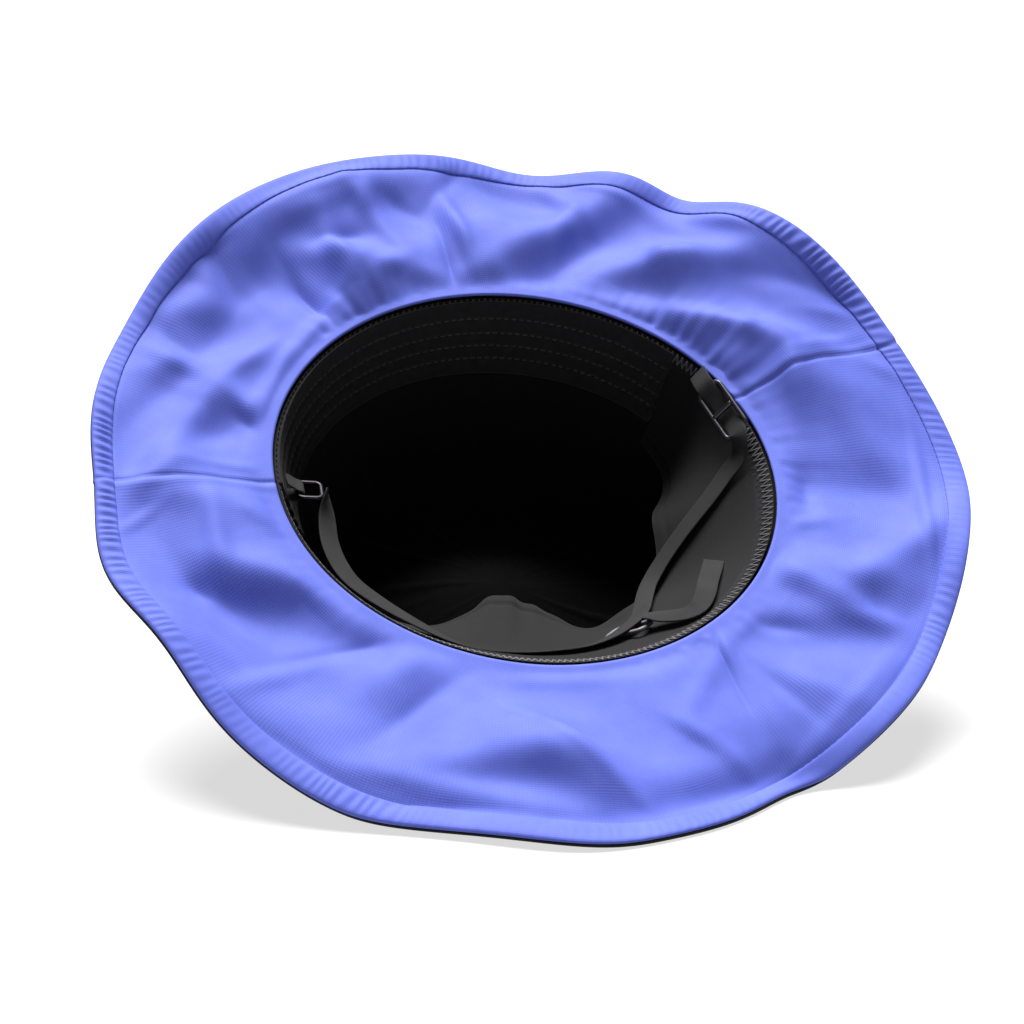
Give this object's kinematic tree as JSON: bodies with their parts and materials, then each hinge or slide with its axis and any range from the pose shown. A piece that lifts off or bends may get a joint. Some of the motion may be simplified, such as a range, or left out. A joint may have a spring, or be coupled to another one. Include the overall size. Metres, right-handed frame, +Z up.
{
  "type": "wide brim hunting hat",
  "caption": "Soft wide brim hat lying on its crown, blue under-brim facing up, dark lined hollow with a chin strap inside.",
  "frame": {"origin": "on the floor, on the flattened patch of the crown that the hat lies on, below the middle of the head opening", "axes": "+Z up, +X to the right as the picture shows it, +Y away from the viewer; the hat's own axis leans 51 degrees up from the floor towards -Y"},
  "size_m": [0.3342, 0.2608, 0.1983],
  "materials": {
    "blue_cloth": "matt woven cotton or polyester, bright blue",
    "black_cloth": "matt woven cloth, black",
    "lining_cloth": "plain lining cloth and stitched band, black",
    "webbing": "flat woven strap, dark grey",
    "steel_wire": "worn grey wire",
    "grey_plastic": "moulded, grey"
  },
  "bodies": {
    "root": {"under_brim_front": "blue_cloth", "under_brim_back": "blue_cloth", "brim_top_front": "black_cloth", "brim_top_back": "black_cloth", "crown_side_front": "black_cloth", "crown_side_back": "black_cloth", "crown_tip": "black_cloth", "crown_lining": "lining_cloth", "sweatband_front": "lining_cloth", "sweatband_back": "lining_cloth", "rim_tape": "lining_cloth", "strap_ring": "steel_wire", "tab_left": "webbing", "chin_strap": "webbing", "strap_tail": "webbing", "strap_slider": "grey_plastic", "strap_buckle": "steel_wire"}
  },
  "joints": []
}
